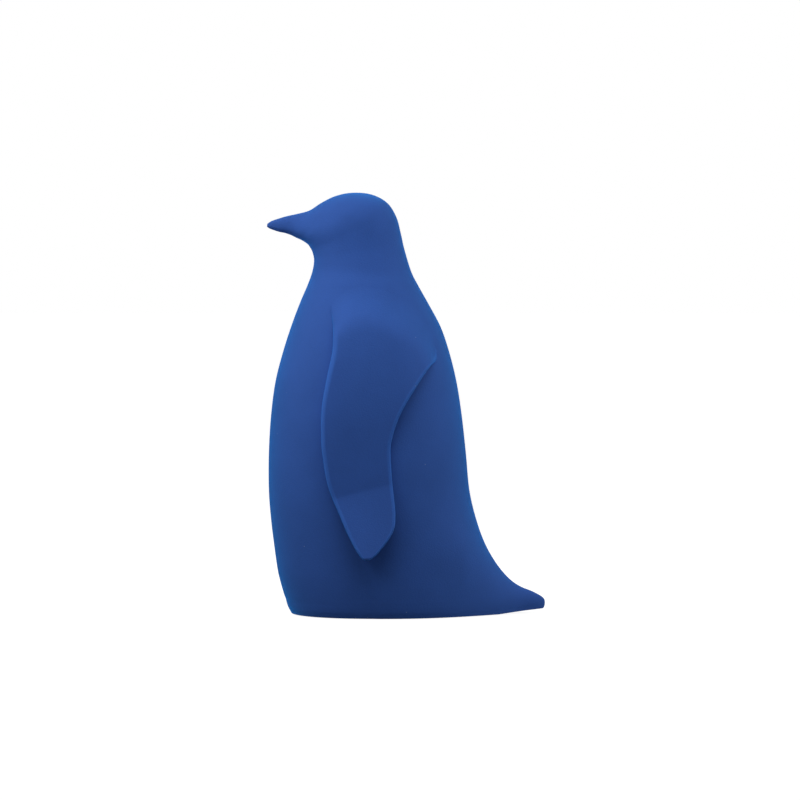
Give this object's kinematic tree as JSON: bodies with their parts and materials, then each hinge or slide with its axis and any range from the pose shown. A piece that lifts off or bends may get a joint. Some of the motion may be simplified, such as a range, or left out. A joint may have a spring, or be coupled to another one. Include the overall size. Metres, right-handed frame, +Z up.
{
  "type": "penguin figurine",
  "caption": "Free-standing penguin figurine with a hollow split-shell body, pegged flippers, a weighted base plate and rubber feet.",
  "frame": {"origin": "on the table, below the middle of the figurine's bounding box", "axes": "+Z up, +X from the beak towards the tail, so the penguin faces -X and its own left side is -Y"},
  "size_m": [0.132, 0.114, 0.1999],
  "materials": {
    "body_blue": "matt, velvety blue",
    "plate_blue": "fine-grained dark blue",
    "ballast_iron": "as cast",
    "screw_steel": "zinc plated",
    "pad_rubber": "matt"
  },
  "bodies": {
    "root": {"left_body_shell": "body_blue", "right_body_shell": "body_blue", "left_flipper": "body_blue", "right_flipper": "body_blue", "base_plate": "plate_blue", "ballast_weight": "ballast_iron", "base_screws": "screw_steel", "ballast_screws": "screw_steel", "foot_pads": "pad_rubber", "locating_pins": "screw_steel"}
  },
  "joints": []
}
